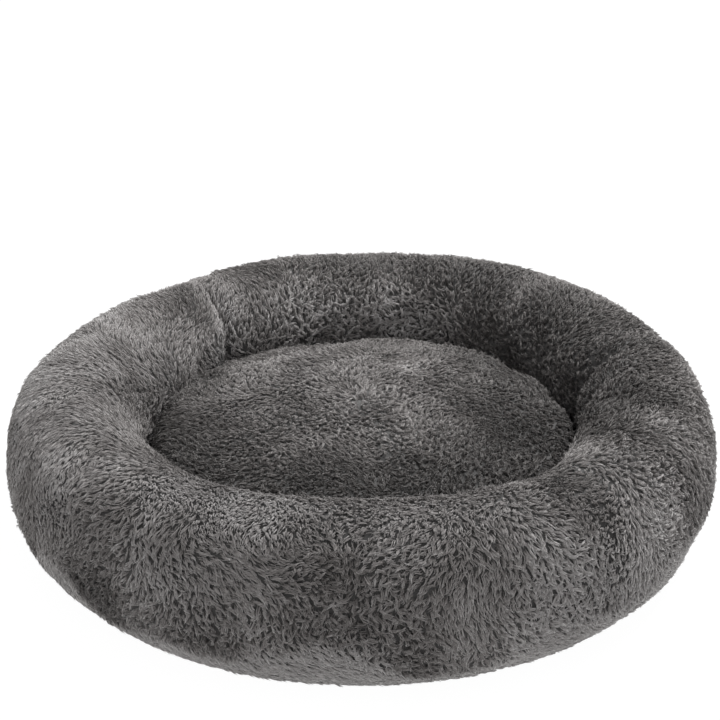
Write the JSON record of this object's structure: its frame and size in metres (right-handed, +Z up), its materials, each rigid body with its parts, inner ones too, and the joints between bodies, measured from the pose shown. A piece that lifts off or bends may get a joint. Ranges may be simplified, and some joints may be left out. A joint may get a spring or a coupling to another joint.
{
  "type": "pet cushion bed",
  "caption": "Round pet bed: a fat plush ring round a well that holds a loose domed plush cushion, with zipped covers and a flat grip-dotted underside.",
  "frame": {"origin": "middle of the underside, on the ground", "axes": "+Z up, -Y towards the front seen in the picture, the zips at the back (+Y)"},
  "size_m": [0.7, 0.6999, 0.158],
  "materials": {
    "plush": "matte",
    "lining": "matte",
    "filling": "matte",
    "base_cloth": "matte",
    "lining_cloth": "matte",
    "label_cloth": "satin",
    "zip_tape": "matte",
    "zip_coil": "satin",
    "zip_metal": "satin"
  },
  "bodies": {
    "bolster": {"bolster_cover_front": "plush", "bolster_cover_rear": "plush", "bolster_liner": "lining", "bolster_fill": "filling", "base_panel": "base_cloth", "base_padding": "filling", "well_floor": "lining_cloth", "care_label": "label_cloth", "bed_zip_tape_upper": "zip_tape", "bed_zip_tape_lower": "zip_tape", "bed_zip_teeth_upper": "zip_coil", "bed_zip_teeth_lower": "zip_coil", "bed_zip_top_stops": "zip_metal", "bed_zip_bottom_stop": "zip_metal"},
    "cushion": {"cushion_cover_top": "plush", "cushion_cover_base": "lining_cloth", "cushion_liner": "lining", "cushion_fill": "filling", "cushion_zip_tape_upper": "zip_tape", "cushion_zip_tape_lower": "zip_tape", "cushion_zip_teeth_upper": "zip_coil", "cushion_zip_teeth_lower": "zip_coil", "cushion_zip_top_stops": "zip_metal", "cushion_zip_bottom_stop": "zip_metal"},
    "bed_zip_slider": {"bed_zip_slider": "zip_metal"},
    "bed_zip_pull": {"bed_zip_pull": "zip_metal"},
    "cushion_zip_slider": {"cushion_zip_slider": "zip_metal"},
    "cushion_zip_pull": {"cushion_zip_pull": "zip_metal"}
  },
  "joints": [
    {"name": "cushion_lift", "type": "slide", "parent": "bolster", "child": "cushion", "axis": [0, 0, 1], "range_m": [0, 0.2]},
    {"name": "bed_zip_slide", "type": "hinge", "parent": "bolster", "child": "bed_zip_slider", "pos_m": [0, 0, 0.0118], "axis": [0, 0, -1], "range_deg": [0, 112.5]},
    {"name": "bed_zip_pull_swing", "type": "hinge", "parent": "bed_zip_slider", "child": "bed_zip_pull", "pos_m": [-0.26973, 0.17952, 0.0118], "axis": [0, 0, 1], "range_deg": [0, 175]},
    {"name": "cushion_zip_slide", "type": "hinge", "parent": "cushion", "child": "cushion_zip_slider", "pos_m": [0, 0, 0.034], "axis": [0, 0, -1], "range_deg": [0, 90.5]},
    {"name": "cushion_zip_pull_swing", "type": "hinge", "parent": "cushion_zip_slider", "child": "cushion_zip_pull", "pos_m": [-0.14307, 0.14431, 0.034], "axis": [0, 0, 1], "range_deg": [0, 175]}
  ]
}
